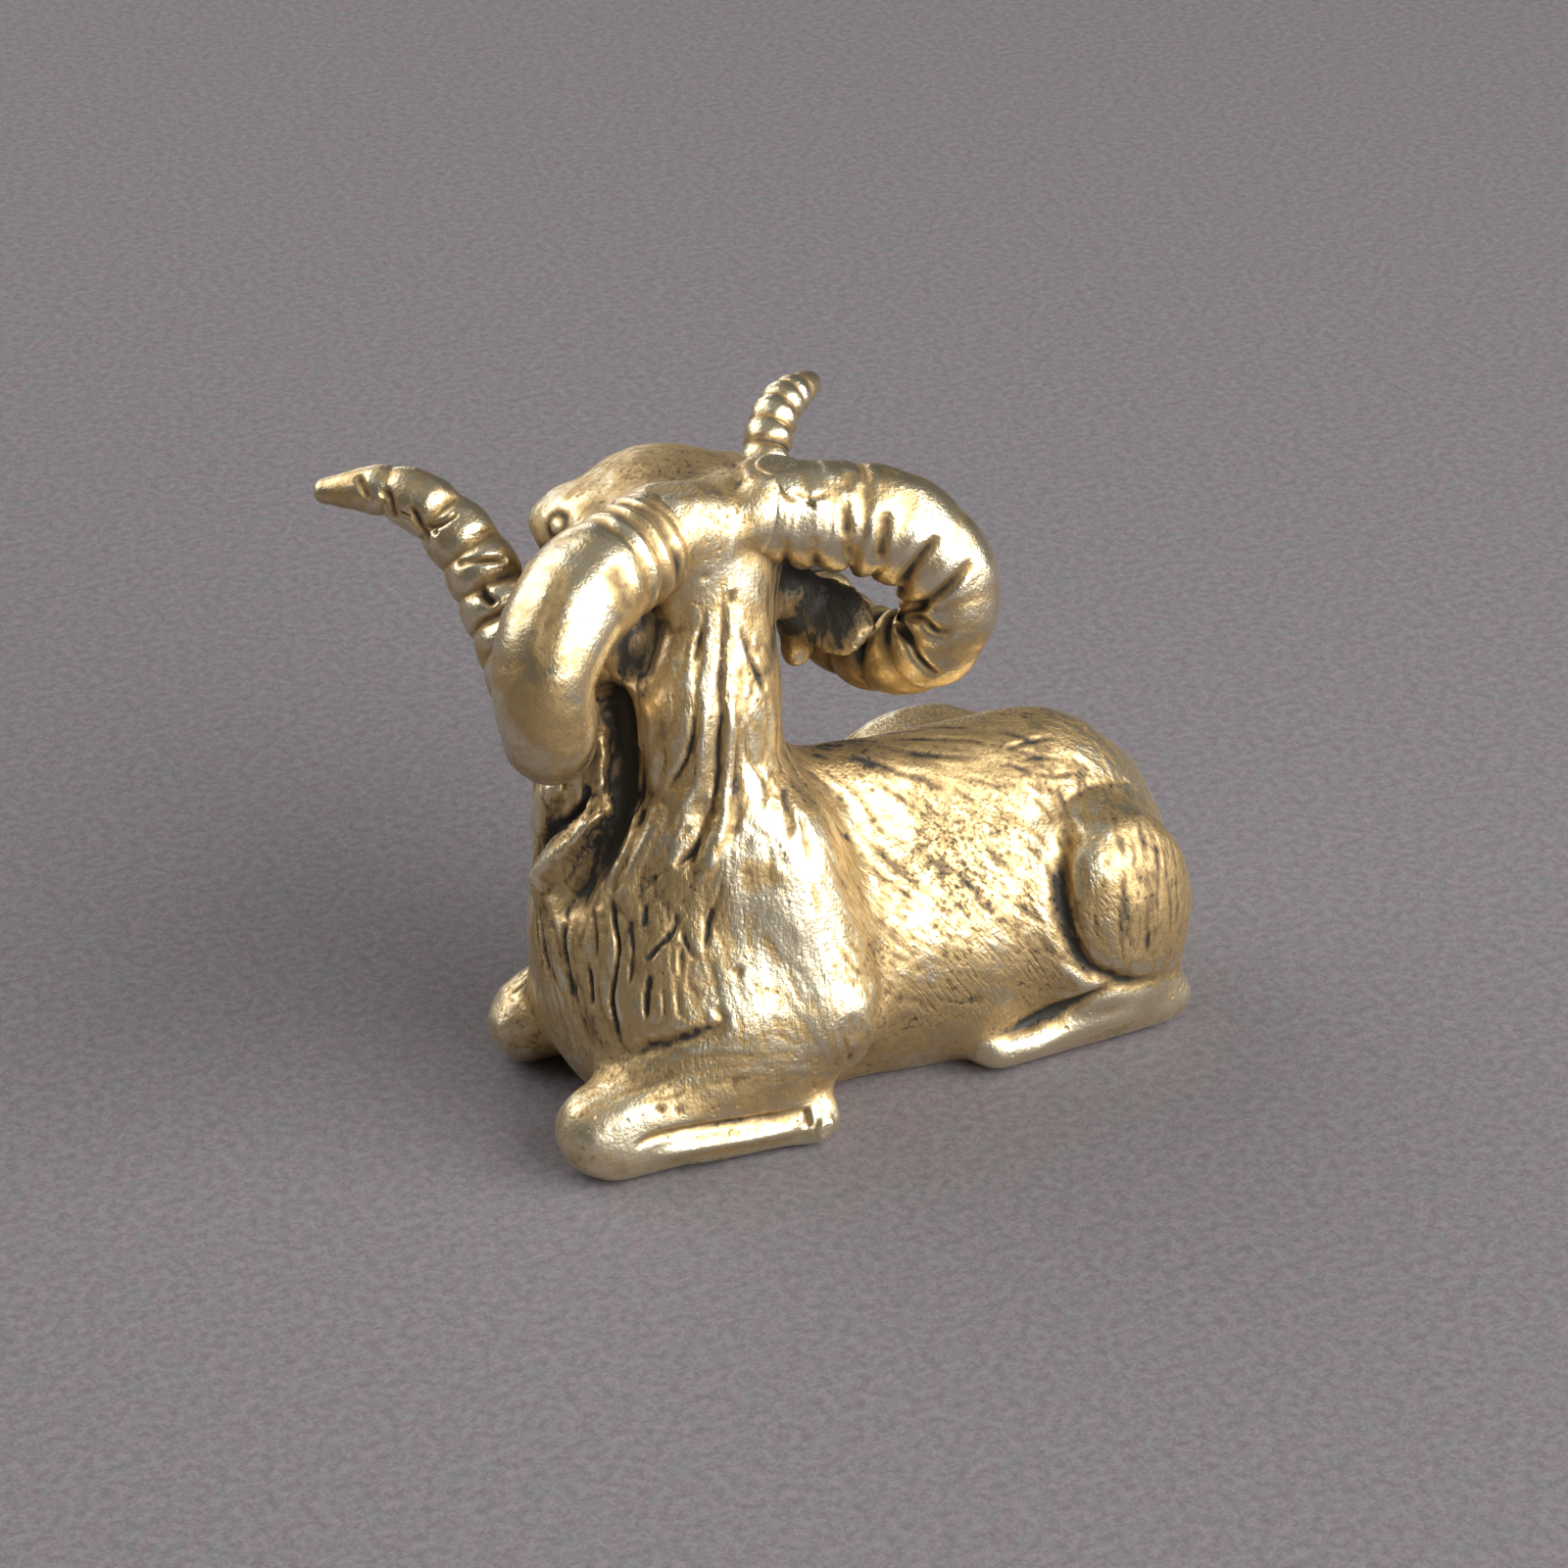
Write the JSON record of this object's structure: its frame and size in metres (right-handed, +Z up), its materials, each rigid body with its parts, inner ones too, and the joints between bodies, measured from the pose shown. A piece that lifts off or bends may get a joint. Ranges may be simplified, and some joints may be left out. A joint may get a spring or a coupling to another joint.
{
  "type": "animal figurine",
  "caption": "Small cast brass goat lying with folded legs, head turned over its right shoulder, with two ringed horns that curl round the ears and flare at the tips.",
  "frame": {"origin": "on the flat underside, in the middle plane of the torso, 19 mm in front of the rump", "axes": "+X from the rump to the chest, +Y to the goat's left, +Z up; the turned face looks towards -Y"},
  "size_m": [0.0417, 0.0274, 0.034],
  "materials": {
    "body_brass": "as-cast brass with a dark patina in the hollows and polished high spots",
    "horn_brass": "cast brass, polished on the ribs and dark in the grooves",
    "dowel_brass": "drawn brass rod, bare"
  },
  "bodies": {
    "root": {"body_casting": "body_brass", "left_horn": "horn_brass", "right_horn": "horn_brass", "left_horn_dowel": "dowel_brass", "right_horn_dowel": "dowel_brass"}
  },
  "joints": []
}
